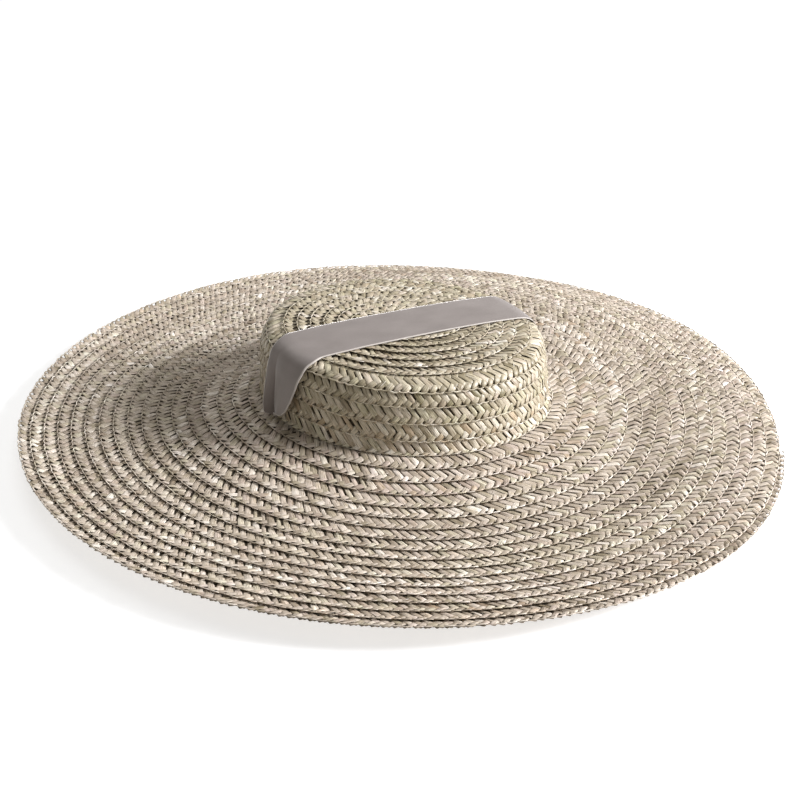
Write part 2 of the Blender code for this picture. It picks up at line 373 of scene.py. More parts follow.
def strand_looks():
    """Look of the straw at each column: tone, kind and a spare value, which no material reads.

    A straw comes back every few columns.
    """
    count = len(COLUMNS)
    looks = np.ones((count, 4))
    for strand in range(STRANDS):
        places = np.arange(strand, count, STRANDS)
        straw = np.cumsum(random.random(len(places)) < 1.0 / STRAW_USES)
        own = np.column_stack((
            random.normal(0.5, TONE_SPREAD, straw[-1] + 1),
            random.random(straw[-1] + 1),
            random.random(straw[-1] + 1),
        ))
        looks[places, :3] = own[straw]
    drift = random.normal(0.0, 1.0, count + DRIFT_COLUMNS - 1)
    drift = np.convolve(drift, np.hanning(DRIFT_COLUMNS), "valid")
    looks[:, 0] += DRIFT * drift / drift.std() + random.normal(0.0, COLUMN_SPREAD, count)
    looks[:, 0] = np.clip(looks[:, 0], 0.0, 1.0)
    return looks


LONG_LOOKS = strand_looks()
SHORT_LOOKS = np.roll(LONG_LOOKS, 3, axis=0)


def eased(value):
    """Smooth step from 0 to 1."""
    value = np.clip(value, 0.0, 1.0)
    return value * value * (3.0 - 2.0 * value)


def jitter(count, size):
    """A random amount for each straw."""
    return random.normal(0.0, size, (count, 1))


def between(count, low, high):
    """A random value for each straw, evenly between two limits."""
    return random.uniform(low, high, (count, 1))


def steps_along(count):
    """Evenly spaced places along a straw, 0 at its start and 1 at its end."""
    return np.linspace(0.0, 1.0, count)[None, :]


class StrawPile:
    """Straws on one side of the wall, collected as arrays and made into one mesh."""

    def __init__(self, side):
        self.side = side
        self.points = []
        self.loops = []
        self.totals = []
        self.uvs = []
        self.looks = []
        self.count = 0

    def add(self, turns, along, across, half, base, up, looks, ring, flush=None, tilt=0.0):
        """Add straws by their middle lines: along and across in millimetres, a row for each straw.

        Half is half a straw's width, base its height and up how far its middle stands up. Where
        flush is 1 a straw is cut along the row instead of square to itself.
        """
        # the direction across each straw: a part along the row and a part across it
        step_a = np.gradient(along, axis=1)
        step_c = np.gradient(across, axis=1)
        size = np.maximum(np.hypot(step_a, step_c), 1e-9)
        side_a = -step_c / size
        side_c = step_a / size
        if flush is not None:
            side_a = side_a + (size / -step_c - side_a) * flush
            side_c = side_c * (1.0 - flush)

        # the section's corners, along and across the row, and the places on the wall they have
        ring = np.array(ring)
        offset = ring[None, None, :, 0] * half[..., None]
        a = along[..., None] + side_a[..., None] * offset
        c = across[..., None] + side_c[..., None] * offset
        pace = round_speed(turns)[:, None, None]
        where = turns[:, None, None] + a * MM / pace / TURN
        edge = row_line(where + 1.0)
        width = (edge - row_line(where)) / MM
        if self.side > 0.0:
            run = edge - c * MM
        else:
            run = edge - (STRIP - c) * MM
        angle = turn_angle(turns)[:, None, None] + a * MM / pace

        # their heights, which rise from the row's inner edge to its outer one
        rise = EDGE_UP + (ROOT_UP - EDGE_UP) * np.clip(c / width, -0.1, 1.0)
        if self.side < 0.0:
            rise = rise * UNDER_SHARE
        slant = np.broadcast_to(tilt, (len(turns), 1))[..., None] * ring[None, None, :, 0]
        height = np.maximum(rise + base[..., None] + slant, LEAST_UP)
        height = height + ring[None, None, :, 1] * up[..., None]
        points = surface(run, angle, height * MM * self.side)
        # nothing goes through the floor
        points[..., 2] = np.maximum(points[..., 2], 0.0)

        # faces, and UVs that start at a random place for each straw
        length = np.cumsum(size, axis=1)[..., None] + 0.0 * offset
        start = random.uniform(0.0, UV_SPREAD, (len(turns), 1, 1))
        straws, stations, corners = offset.shape
        each = stations * corners
        quads, caps = straw_faces(stations, corners, self.side > 0.0)
        starts = self.count + np.arange(straws)[:, None, None] * each
        self.points.append(points.reshape(-1, 3))
        places = np.stack((offset + start, length + start * UV_STEP), axis=-1)
        self.uvs.append(places.reshape(-1, 2) * MM)
        self.looks.append(np.repeat(looks, each, axis=0))
        self.loops += [(quads[None] + starts).reshape(-1), (caps[None] + starts).reshape(-1)]
        self.totals += [np.full(straws * len(quads), 4), np.full(straws * 2, corners)]
        self.count += straws * each

    def mesh(self, name):
        """One mesh of all the straws, each a closed body."""
        return array_mesh(
            name,
            np.concatenate(self.points),
            np.concatenate(self.loops),
            np.concatenate(self.totals),
            np.concatenate(self.uvs),
            np.concatenate(self.looks),
        )


def straw_faces(stations, corners, flip):
    """Corner numbers of one straw's side faces and of its two ends."""
    station, corner = np.meshgrid(np.arange(stations - 1), np.arange(corners), indexing="ij")
    first = (station * corners + corner).reshape(-1)
    second = (station * corners + (corner + 1) % corners).reshape(-1)
    quads = np.stack((first, second, second + corners, first + corners), axis=-1)
    last = (stations - 1) * corners
    caps = np.stack((np.arange(corners)[::-1], last + np.arange(corners)))
    if flip:
        quads = quads[:, ::-1]
        caps = caps[:, ::-1]
    return quads, caps


def array_mesh(name, points, loops, totals, uvs, looks):
    """Mesh from arrays of points, corners and corner counts, smooth, with UVs and a look colour."""
    loop_starts = np.concatenate(((0,), np.cumsum(totals)[:-1]))
    mesh = bpy.data.meshes.new(name)
    mesh.vertices.add(len(points))
    mesh.vertices.foreach_set("co", points.astype(np.float32).ravel())
    mesh.loops.add(len(loops))
    mesh.loops.foreach_set("vertex_index", loops.astype(np.int32))
    mesh.polygons.add(len(totals))
    mesh.polygons.foreach_set("loop_start", loop_starts.astype(np.int32))
    mesh.update(calc_edges=True)
    layer = mesh.uv_layers.new(name="straw_uv")
    layer.data.foreach_set("uv", uvs[loops].astype(np.float32).ravel())
    if looks is not None:
        colour = mesh.color_attributes.new("look", "FLOAT_COLOR", "POINT")
        colour.data.foreach_set("color", looks.astype(np.float32).ravel())
    mesh.validate()
    mesh.shade_smooth()
    return mesh


class Rows:
    """The plait's columns in one piece, with the values that the straws of a column share."""

    def __init__(self, first, last, side):
        self.chosen = np.flatnonzero((COLUMNS >= first) & (COLUMNS < last))
        self.fine = side > 0.0
        self.ring = FINE_RING if self.fine else PLAIN_RING
        self.turns = COLUMNS[self.chosen]
        self.count = len(self.turns)
        self.width = (row_line(self.turns + 1.0) - row_line(self.turns)) / MM
        if not self.fine:
            self.width = self.width + np.where(self.turns >= COLUMNS[-1] - 1.0, LAST_WIDER, 0.0)
        self.wide = self.width > INNER_MEET + INNER_MARGIN
        self.shift = jitter(self.count, SHIFT_SPREAD)
        self.lean_long = 1.0 / np.tan(LONG_ANGLE + jitter(self.count, LONG_TURN_SPREAD))
        self.lean_short = 1.0 / np.tan(SHORT_ANGLE + jitter(self.count, SHORT_TURN_SPREAD))
        self.meet = MEET + jitter(self.count, MEET_SPREAD)
        self.thin = 1.0 - THIN_BY * (random.random((self.count, 1)) < THIN_SHARE)

    def steps(self, fine_steps):
        """Places along each straw, fewer of them below."""
        return steps_along(fine_steps if self.fine else COARSE_STEPS)


def long_straws(pile, rows):
    """Long straws, from under the row before or the inner straws to under their short straw."""
    count = rows.count
    share = rows.steps(6)
    wide = rows.wide[:, None]
    width = rows.width[:, None]
    start = np.where(wide, INNER_MEET + TUCK, width + TUCK)
    end = rows.meet - TUCK
    across = start + (end - start) * share
    along = (MIDDLE - across) * rows.lean_long + rows.shift
    ends = eased((across - end) / END_REACH)
    starts = np.where(wide, eased((start - across) / END_REACH), 1.0)

    # where the row before shades their start, they lie lower and are slimmer
    on_top = rows.turns < TOP_TURN
    reach = np.where(on_top, TOP_REACH, ROOT_REACH)[:, None]
    facing = 0.5 + 0.5 * np.cos(turn_angle(rows.turns) - OPEN_SIDE)
    openness = OPEN_LEAST + (1.0 - OPEN_LEAST) * facing
    slim = np.where(on_top, TOP_SLIM * openness, ROOT_SLIM)[:, None]
    sunk = np.where(on_top, TOP_DIP, ROOT_DIP)[:, None]
    roots = np.where(wide, 1.0, eased((width + ROOT_UNDER - across) / reach))

    base = -END_DOWN * (1.0 - ends) - END_DOWN * (1.0 - starts) + jitter(count, BASE_SPREAD)
    base = base + BOW_UP * np.sin(math.pi * share) - sunk * (1.0 - roots)
    half = LONG_HALF * rows.thin * (1.0 + jitter(count, WIDTH_SPREAD)) + 0.0 * share
    half = half * (1.0 - END_SLIM + END_SLIM * np.minimum(ends, starts))
    half = half * (1.0 - slim * (1.0 - roots))
    up = STRAW_UP * (1.0 + jitter(count, UP_SPREAD)) * (1.0 - END_FLAT + END_FLAT * ends)
    tilt = jitter(count, TILT)
    looks = LONG_LOOKS[rows.chosen]
    pile.add(rows.turns, along, across, half, base, up, looks, rows.ring, None, tilt)


# Places along the row of the short and the inner straws, beside the long one that they cross
SHORT_PLACE = (MIDDLE - MEET) / math.tan(LONG_ANGLE) + SHORT_HALF / math.sin(SHORT_ANGLE)
INNER_PLACE = (MIDDLE - INNER_MEET) / math.tan(LONG_ANGLE) - SHORT_HALF / math.sin(SHORT_ANGLE)


def short_straws(pile, rows):
    """Short straws, from the edge loops back to under the next long straw."""
    count = rows.count
    share = rows.steps(5)
    end = rows.meet + TUCK + SHORT_UNDER
    across = SHORT_START + (end - SHORT_START) * share
    along = SHORT_PLACE + (across - MEET) * rows.lean_short + rows.shift
    along = along + jitter(count, SHORT_SPREAD)
    rim = np.exp(-(across - SHORT_START) ** 2)
    dip = 1.0 - eased((end - across) / SHORT_REACH)
    base = BOW_UP - SHORT_DOWN * dip - START_DOWN * rim + jitter(count, BASE_SPREAD)
    narrow = between(count, *START_NARROW) * rim
    half = SHORT_HALF * (1.0 + jitter(count, WIDTH_SPREAD)) * (1.0 - SHORT_SLIM * dip - narrow)
    up = STRAW_UP * (1.0 + jitter(count, UP_SPREAD)) + 0.0 * share
    tilt = jitter(count, TILT)
    looks = SHORT_LOOKS[rows.chosen]
    pile.add(rows.turns, along, across, half, base, up, looks, rows.ring, rim, tilt)


def edge_loops(pile, rows):
    """The straws' folds at the outer edge, one thin loop from each short straw to the next."""
    count = rows.count
    share = rows.steps(5)
    bow = np.sin(math.pi * share)
    out = LOOP_OUT * (1.0 + jitter(count, LOOP_OUT_SPREAD))
    across = LOOP_FROM - (LOOP_BACK + out) * bow + jitter(count, LOOP_SPREAD)
    along = SHORT_PLACE - LOOP_BEFORE + (PITCH + LOOP_OVER) * share + rows.shift
    base = LOOP_BASE + LOOP_BOW * bow + jitter(count, LOOP_SPREAD)
    half = LOOP_HALF * (1.0 - LOOP_SLIM + LOOP_SLIM * bow)
    half = half * (1.0 + jitter(count, LOOP_WIDTH_SPREAD))
    up = LOOP_UP * (1.0 + jitter(count, LOOP_UP_SPREAD)) + 0.0 * share
    looks = SHORT_LOOKS[rows.chosen].copy()
    looks[:, 0] = np.clip(looks[:, 0] + LOOP_PALER, 0.0, 1.0)
    pile.add(rows.turns, along, across, half, base, up, looks, PLAIN_RING)


def inner_straws(pile, rows):
    """Inner straws, which show only where a row is wide."""
    wide = rows.wide
    turns = rows.turns[wide]
    count = len(turns)
    if not count:
        return
    start = INNER_MEET - TUCK
    end = rows.width[wide][:, None] + INNER_UNDER
    across = start + (end - start) * rows.steps(4)
    along = INNER_PLACE + (across - INNER_MEET) * rows.lean_short[wide] + rows.shift[wide]
    dip = 1.0 - eased((across - start) / INNER_REACH)
    base = INNER_BASE - SHORT_DOWN * dip + jitter(count, INNER_SPREAD)
    half = SHORT_HALF * (1.0 + jitter(count, WIDTH_SPREAD)) * (1.0 - SHORT_SLIM * dip)
    up = STRAW_UP * INNER_UP + 0.0 * across
    looks = SHORT_LOOKS[rows.chosen][wide]
    pile.add(turns, along, across, half, base, up, looks, PLAIN_RING)


def stray_straws(pile, chosen):
    """Thin split ends and fibres that stick out here and there."""
    count = len(chosen) * STRAY_COUNT // len(COLUMNS)
    turns = COLUMNS[np.sort(random.choice(chosen, count, False))]
    share = steps_along(4)
    reach = (share - 0.5) * between(count, *STRAY_LENGTHS)
    slant = random.choice(STRAY_SLANTS, (count, 1)) + jitter(count, STRAY_SLANT_SPREAD)
    slant = np.radians(slant)
    along = between(count, *STRAY_ALONG) + reach * np.cos(slant)
    across = between(count, *STRAY_ACROSS) + reach * np.sin(slant)
    base = STRAY_BASE + between(count, *STRAY_RISES) * share ** 2 - STRAY_DIP * (1.0 - share) ** 2
    half = STRAY_HALF * between(count, *STRAY_WIDTHS) * (1.0 - STRAY_TAPER * share ** 3)
    up = STRAY_UP + 0.0 * share
    looks = np.ones((count, 4))
    looks[:, :3] = random.uniform(STRAY_LOW, STRAY_HIGH, (count, 3))
    pile.add(turns, along, across, half, base, up, looks, PLAIN_RING)


def straw_piece(name, first, last, side):
    """One piece of the plait, from one turn to another, on one side of the wall."""
    rows = Rows(first, last, side)
    pile = StrawPile(side)
    long_straws(pile, rows)
    short_straws(pile, rows)
    edge_loops(pile, rows)
    inner_straws(pile, rows)
    if rows.fine:
        stray_straws(pile, rows.chosen)
    return add_object(name, pile.mesh(name))


def add_object(name, data):
    """Object in the scene."""
    thing = bpy.data.objects.new(name, data)
    bpy.context.scene.collection.objects.link(thing)
    return thing


# The shell in the middle of the wall
SHELL_HALF = 0.1 * MM
SHELL_STEPS = 180
SHELL_INSET = 1.6 * MM  # it ends this far inside the last row's edge
LAST_ROW = 16.0  # the last row's edge runs from this turn to the next


def shell_piece(name, runs):
    """Thin closed shell in the middle of the wall, which the straws lie on."""
    angles = np.linspace(0.0, TURN, SHELL_STEPS + 1)[:-1]
    run, angle = np.meshgrid(runs, angles, indexing="ij")
    if runs[-1] > 0.0:
        turns = (angle - BRAID_END) / TURN % 1.0 + LAST_ROW
        run = np.minimum(run, row_line(turns) - SHELL_INSET)
    top = surface(run, angle, np.full(run.shape, SHELL_HALF))
    low = surface(run, angle, np.full(run.shape, -SHELL_HALF))
    points = np.concatenate((top.reshape(-1, 3), low.reshape(-1, 3)))
    index = np.arange(run.size).reshape(run.shape)
    ahead = np.roll(index, -1, axis=1)
    low_index = index + run.size
    low_ahead = ahead + run.size
    quads = [
        np.stack((index[:-1], index[1:], ahead[1:], ahead[:-1]), -1).reshape(-1, 4),
        np.stack((low_index[:-1], low_ahead[:-1], low_ahead[1:], low_index[1:]), -1).reshape(-1, 4),
        np.stack((index[0], ahead[0], low_ahead[0], low_index[0]), -1),
        np.stack((index[-1], low_index[-1], low_ahead[-1], ahead[-1]), -1),
    ]
    loops = np.concatenate(quads).reshape(-1)
    totals = np.full(len(loops) // 4, 4)
    uvs = np.stack((run, angle * CROWN_RADIUS), -1).reshape(-1, 2)
    uvs = np.concatenate((uvs, uvs))
    return add_object(name, array_mesh(name, points, loops, totals, uvs, None))


# Ribbon, with the solids' sizes
RIBBON_WIDTH = 38.0 * MM
RIBBON_THICK = 0.6 * MM
RIBBON_TURN = math.radians(33.4)
RIBBON_ASIDE = -4.8 * MM  # how far beside the crown's middle it passes
RIBBON_STAND = 2.3 * MM  # height of the cloth above the middle of the straw wall
RIBBON_END = 1.0 * MM  # its ends stop this far above the crown's base
RIBBON_ROWS = 221
RIBBON_COLS = 35
SELVAGE = (17.9 * MM, 18.2 * MM)  # the paler edge starts between these, from the middle line
SHOULDER = 3  # row of the crown's section at which the flat top ends
TOP_SHARE = 0.56  # share of each half of the cloth's rows that lies on the flat top
HOOK = 7.5 * MM  # the right edge of the front end is tucked in this much higher
VALLEY = 0.35  # the fold's valley, from the middle to the left edge of the cloth
LEFT_BULGE = 0.8  # the fold's two sides are rounder the smaller these are
RIGHT_BULGE = 0.85
PLEAT = 0.5 * MM  # small waves across the gathered end
PLEAT_TURNS = 7.0
PLEAT_FROM = 0.45
PLEAT_REACH = 0.5
FRONT_ROUND = 0.06
BACK_ROUND = 0.12
GATHER_FRONT = np.array((
    # share of the way down, left and right half by half the width, their lifts by the width
    (0.00, 1.00, 1.00, 0.00, 0.00),
    (0.14, 0.80, 1.12, 0.00, 0.03),
    (0.28, 0.60, 1.08, 0.03, 0.06),
    (0.46, 0.50, 1.04, 0.08, 0.13),
    (0.65, 0.46, 0.98, 0.13, 0.21),
    (0.82, 0.44, 0.84, 0.16, 0.25),
    (0.93, 0.43, 0.60, 0.15, 0.22),
    (1.00, 0.45, 0.10, 0.10, 0.14),
))
GATHER_BACK = np.array((
    (0.00, 1.00, 1.00, 0.00, 0.00),
    (0.30, 0.95, 0.94, 0.01, 0.00),
    (0.65, 0.80, 0.72, 0.03, 0.01),
    (1.00, 0.60, 0.50, 0.04, 0.03),
))
LEFT_HALF, RIGHT_HALF, LEFT_LIFT, RIGHT_LIFT = range(4)
FRONT_SHARES, FRONT_COLUMNS = smooth_columns(GATHER_FRONT[:, 0], GATHER_FRONT[:, 1:], FRONT_ROUND)
BACK_SHARES, BACK_COLUMNS = smooth_columns(GATHER_BACK[:, 0], GATHER_BACK[:, 1:], BACK_ROUND)


def ring_beside(radius, side, direction):
    """Direction in which an oval ring passes this far beside a line through its middle."""
    angle = direction + np.arcsin(np.clip(side / radius, -0.9, 0.9))
    for _ in range(4):
        x, y = oval(radius, angle)
        miss = side - (y * np.cos(direction) - x * np.sin(direction))
        angle = angle + miss / (radius * np.cos(angle - direction))
    return angle


def ring_through(x, y):
    """Mean radius and direction at which an oval ring passes through a plan position."""
    ring_x, ring_y = x, y
    for _ in range(8):
        made_x, made_y = oval(np.hypot(ring_x, ring_y), np.arctan2(ring_y, ring_x))
        ring_x = ring_x + x - made_x
        ring_y = ring_y + y - made_y
    return np.hypot(ring_x, ring_y), np.arctan2(ring_y, ring_x)


def gathered(front, down, column):
    """Value of a column of the gather tables, from the front one or the back one."""
    in_front = np.interp(down, FRONT_SHARES, FRONT_COLUMNS[column])
    at_back = np.interp(down, BACK_SHARES, BACK_COLUMNS[column])
    return np.where(front, in_front, at_back)


def ribbon_on_top(reach, side, direction):
    """Run and direction of the cloth's stretch on the crown's flat top."""
    rim = SECTION_POINTS[SHOULDER, 0]
    x, y = oval(rim, ring_beside(rim, side, direction))
    forward = (x * np.cos(direction) + y * np.sin(direction)) * np.minimum(reach / TOP_SHARE, 1.0)
    x = forward * np.cos(direction) - side * np.sin(direction)
    y = forward * np.sin(direction) + side * np.cos(direction)
    radius, angle = ring_through(x, y)
    run = -CROWN_LENGTH + SECTION_LENGTHS[SHOULDER] * np.minimum(1.0, radius / rim)
    return run, angle


def ribbon_points(along, across):
    """Middle of the cloth: along from -1, front end, to 1, back end; across in metres."""
    front = along < 0.0
    end = np.where(front, -1.0, 1.0)
    direction = np.where(front, RIBBON_TURN + math.pi, RIBBON_TURN)
    reach = np.abs(along)
    top_run, top_angle = ribbon_on_top(reach, (RIBBON_ASIDE + across) * end, direction)

    # the stretches down the wall, gathered towards their ends
    down = np.clip((reach - TOP_SHARE) / (1.0 - TOP_SHARE), 0.0, 1.0)
    halves = (gathered(front, down, LEFT_HALF), gathered(front, down, RIGHT_HALF))
    spread_across = across * np.where(across > 0.0, *halves)
    lateral = across * 2.0 / RIBBON_WIDTH
    right_of_valley = np.clip((VALLEY - lateral) / (1.0 + VALLEY), 0.0, 1.0)
    left_of_valley = np.clip((lateral - VALLEY) / (1.0 - VALLEY), 0.0, 1.0)
    shoulder = SECTION_LENGTHS[SHOULDER]
    tucked = HOOK * right_of_valley * front
    run = -CROWN_LENGTH + shoulder + (CROWN_LENGTH - RIBBON_END - tucked - shoulder) * down
    base = np.interp(CROWN_LENGTH + run, SECTION_FINE, SECTION_RADII)
    wall_angle = ring_beside(base, (RIBBON_ASIDE + spread_across) * end, direction)
    left_part = np.sin(0.5 * math.pi * left_of_valley) ** LEFT_BULGE
    right_part = right_of_valley ** RIGHT_BULGE
    lift = gathered(front, down, LEFT_LIFT) * left_part
    lift = lift + gathered(front, down, RIGHT_LIFT) * right_part
    waves = np.cos(PLEAT_TURNS * (lateral - VALLEY)) * (1.0 - lateral ** 2)
    pleat = PLEAT * eased((down - PLEAT_FROM) / PLEAT_REACH) * waves
    stand = lift * RIBBON_WIDTH + np.where(front, pleat + PLEAT * down, 0.0)

    on_top = reach <= TOP_SHARE
    run = np.where(on_top, top_run, run)
    angle = np.where(on_top, top_angle, wall_angle)
    return surface(run, angle, RIBBON_STAND + np.where(on_top, 0.0, stand))


def make_ribbon():
    """Cloth strip laid over the crown, and its length."""
    rows = np.linspace(-1.0, 1.0, RIBBON_ROWS)
    cols = np.linspace(-0.5, 0.5, RIBBON_COLS) * RIBBON_WIDTH
    along, across = np.meshgrid(rows, cols, indexing="ij")
    points = ribbon_points(along, across)
    index = np.arange(along.size).reshape(along.shape)
    quads = np.stack((index[:-1, :-1], index[1:, :-1], index[1:, 1:], index[:-1, 1:]), -1)
    quads = quads.reshape(-1, 4)
    middle = points[:, RIBBON_COLS // 2]
    steps = np.linalg.norm(np.diff(middle, axis=0), axis=1)
    length = np.concatenate(((0.0,), np.cumsum(steps)))
    uvs = np.stack((across, np.broadcast_to(length[:, None], across.shape)), -1).reshape(-1, 2)
    totals = np.full(len(quads), 4)
    mesh = array_mesh("ribbon_cloth", points.reshape(-1, 3), quads.reshape(-1), totals, uvs, None)
    ribbon = add_object("ribbon_cloth", mesh)
    thick = ribbon.modifiers.new("cloth thickness", "SOLIDIFY")
    thick.thickness = RIBBON_THICK
    thick.offset = 0.0
    return ribbon, float(length[-1])


def new_material(name):
    """New node material, its tree and its Principled shader."""
    material = bpy.data.materials.new(name)
    material.use_nodes = True
    return material, material.node_tree, material.node_tree.nodes["Principled BSDF"]


def ramp(tree, source, stops):
    """Colour ramp fed by a value."""
    node = tree.nodes.new("ShaderNodeValToRGB")
    while len(node.color_ramp.elements) < len(stops):
        node.color_ramp.elements.new(0.5)
    for element, (place, colour) in zip(node.color_ramp.elements, stops):
        element.position = place
        element.color = (*colour, 1.0)
    tree.links.new(source, node.inputs["Fac"])
    return node.outputs["Color"]


def mapped_noise(tree, coordinates, scale, detail, rough=0.5):
    """Noise stretched by a scale for each direction."""
    mapping = tree.nodes.new("ShaderNodeMapping")
    mapping.inputs["Scale"].default_value = scale
    tree.links.new(coordinates, mapping.inputs["Vector"])
    noise = tree.nodes.new("ShaderNodeTexNoise")
    noise.inputs["Scale"].default_value = 1.0
    noise.inputs["Detail"].default_value = detail
    noise.inputs["Roughness"].default_value = rough
    tree.links.new(mapping.outputs["Vector"], noise.inputs["Vector"])
    return noise.outputs["Fac"]


def mix(tree, kind, factor, first, second):
    """Mix two colours; factor is a number or a socket."""
    node = tree.nodes.new("ShaderNodeMix")
    node.data_type = "RGBA"
    node.blend_type = kind
    if isinstance(factor, float):
        node.inputs["Factor"].default_value = factor
    else:
        tree.links.new(factor, node.inputs["Factor"])
    for socket, value in ((node.inputs[6], first), (node.inputs[7], second)):
        if isinstance(value, tuple):
            socket.default_value = (*value, 1.0)
        else:
            tree.links.new(value, socket)
    return node.outputs[2]


def spread(tree, value, low, high, to_low, to_high):
    """Map a value from one range to another, clamped."""
    node = tree.nodes.new("ShaderNodeMapRange")
    node.inputs["From Min"].default_value = low
    node.inputs["From Max"].default_value = high
    node.inputs["To Min"].default_value = to_low
    node.inputs["To Max"].default_value = to_high
    tree.links.new(value, node.inputs["Value"])
    return node.outputs["Result"]


def straw_uv(tree):
    """The straw_uv layer as coordinates."""
    uv = tree.nodes.new("ShaderNodeUVMap")
    uv.uv_map = "straw_uv"
    return uv.outputs["UV"]


def add_bump(tree, shader, height, strength, distance):
    """Bump from a value on the shader's normal."""
    bump = tree.nodes.new("ShaderNodeBump")
    bump.inputs["Strength"].default_value = strength
    bump.inputs["Distance"].default_value = distance
    tree.links.new(height, bump.inputs["Height"])
    tree.links.new(bump.outputs["Normal"], shader.inputs["Normal"])


def straw_material(name, tones, streak_shift):
    """Split straw: a tone and a kind for each straw, long fine streaks, a soft gloss."""
    material, tree, shader = new_material(name)
    uv = straw_uv(tree)
    look = tree.nodes.new("ShaderNodeVertexColor")
    look.layer_name = "look"
    parts = tree.nodes.new("ShaderNodeSeparateColor")
    tree.links.new(look.outputs["Color"], parts.inputs["Color"])
    tone = ramp(tree, parts.outputs["Red"], tones)
    kind = ramp(tree, parts.outputs["Green"], STRAW_KINDS)
    colour = mix(tree, "MULTIPLY", 1.0, tone, kind)
    streaks = mapped_noise(tree, uv, (1900.0 + streak_shift, 130.0, 1.0), 3.0, 0.6)
    patches = mapped_noise(tree, uv, (260.0, 150.0, 1.0), 2.0)
    colour = mix(tree, "MULTIPLY", 0.9, colour, ramp(tree, streaks, STRAW_STREAKS))
    colour = mix(tree, "MULTIPLY", 0.6, colour, ramp(tree, patches, STRAW_PATCHES))
    tree.links.new(colour, shader.inputs["Base Color"])
    tree.links.new(spread(tree, streaks, 0.3, 0.75, 0.34, 0.62), shader.inputs["Roughness"])
    add_bump(tree, shader, streaks, 0.35, 0.15 * MM)
    return material


def shaded_base_material():
    """Dark straw under the plait, seen only between the straws; its near-black colour is painted
    shade of the straws beneath.
    """
    material, tree, shader = new_material("straw_under_shade")
    grain = mapped_noise(tree, straw_uv(tree), (500.0, 500.0, 1.0), 4.0)
    tree.links.new(ramp(tree, grain, UNDER_SHADE_TONES), shader.inputs["Base Color"])
    tree.links.new(spread(tree, grain, 0.3, 0.7, 0.7, 0.95), shader.inputs["Roughness"])
    add_bump(tree, shader, grain, 0.5, 0.4 * MM)
    return material


def ribbon_material():
    """Fine-woven cloth with a soft sheen and paler selvages."""
    material, tree, shader = new_material("ribbon_cloth")
    uv = straw_uv(tree)
    split = tree.nodes.new("ShaderNodeSeparateXYZ")
    tree.links.new(uv, split.inputs["Vector"])
    edge = tree.nodes.new("ShaderNodeMath")
    edge.operation = "ABSOLUTE"
    tree.links.new(split.outputs["X"], edge.inputs[0])
    selvage = spread(tree, edge.outputs["Value"], *SELVAGE, 0.0, 1.0)
    weave = mapped_noise(tree, uv, (900.0, 3800.0, 1.0), 2.0)
    cloud = mapped_noise(tree, uv, (60.0, 30.0, 1.0), 3.0)
    colour = ramp(tree, cloud, CLOTH_TONES)
    colour = mix(tree, "MULTIPLY", 0.5, colour, ramp(tree, weave, CLOTH_WEAVE))
    colour = mix(tree, "MIX", selvage, colour, SELVAGE_COLOUR)
    tree.links.new(colour, shader.inputs["Base Color"])
    tree.links.new(spread(tree, weave, 0.3, 0.7, 0.44, 0.58), shader.inputs["Roughness"])
    add_bump(tree, shader, weave, 0.4, 0.2 * MM)
    shader.inputs["Sheen Weight"].default_value = 0.6
    shader.inputs["Sheen Tint"].default_value = (1.0, 0.96, 0.93, 1.0)
    shader.inputs["Sheen Roughness"].default_value = 0.35
    return material


def dress(piece, material, slot, *nodes):
    """Give a piece its material and body, and hide the CAD nodes it stands for. The slot is not
    used.
    """
    piece.data.materials.append(material)
    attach(piece, "root")
    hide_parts(*nodes)


# Colours, and ramp stops as place and colour
BRIM_TONES = (
    (0.00, (0.250, 0.200, 0.142)),
    (0.35, (0.430, 0.364, 0.295)),
    (0.65, (0.565, 0.496, 0.416)),
    (1.00, (0.840, 0.785, 0.715)),
)
# the crown's tones are darker and more olive than the brim's: in part the straw's own tone, in part
# painted shade of the crown's wall
CROWN_TONES_WITH_SHADE = (
    (0.00, (0.205, 0.170, 0.100)),
    (0.35, (0.378, 0.328, 0.234)),
    (0.65, (0.505, 0.450, 0.350)),
    (1.00, (0.780, 0.740, 0.660)),
)
STRAW_KINDS = (
    (0.00, (1.00, 1.00, 1.00)),
    (0.50, (1.00, 0.99, 0.98)),
    (0.68, (0.95, 0.97, 0.88)),
    (0.84, (0.98, 0.93, 0.95)),
    (0.95, (1.09, 1.09, 1.11)),
    (1.00, (0.84, 0.74, 0.64)),
)
STRAW_STREAKS = (
    (0.36, (0.36, 0.32, 0.26)),
    (0.46, (0.90, 0.89, 0.87)),
    (0.54, (1.02, 1.02, 1.02)),
    (0.64, (1.34, 1.34, 1.34)),
)
STRAW_PATCHES = (
    (0.28, (0.70, 0.66, 0.52)),
    (0.52, (1.00, 1.00, 1.00)),
    (0.80, (1.10, 1.10, 1.12)),
)
# near-black under the plait: painted shade of the straws beneath, seen between the straws
UNDER_SHADE_TONES = ((0.3, (0.022, 0.016, 0.009)), (0.7, (0.075, 0.056, 0.030)))
CLOTH_TONES = ((0.3, (0.180, 0.153, 0.139)), (0.7, (0.232, 0.200, 0.183)))
CLOTH_WEAVE = ((0.3, (0.80, 0.80, 0.80)), (0.7, (1.10, 1.10, 1.10)))
SELVAGE_COLOUR = (0.44, 0.40, 0.36)
FLOOR_TONES = ((0.3, (0.62, 0.62, 0.62)), (0.7, (0.64, 0.64, 0.64)))
WHITE = (1.0, 1.0, 1.0)

straw_brim = straw_material("straw_brim", BRIM_TONES, 0.0)
# the crown's material: its darker tones paint in part the shade on the crown
straw_crown_with_shade = straw_material("straw_crown_with_shade", CROWN_TONES_WITH_SHADE, 40.0)
under = shaded_base_material()

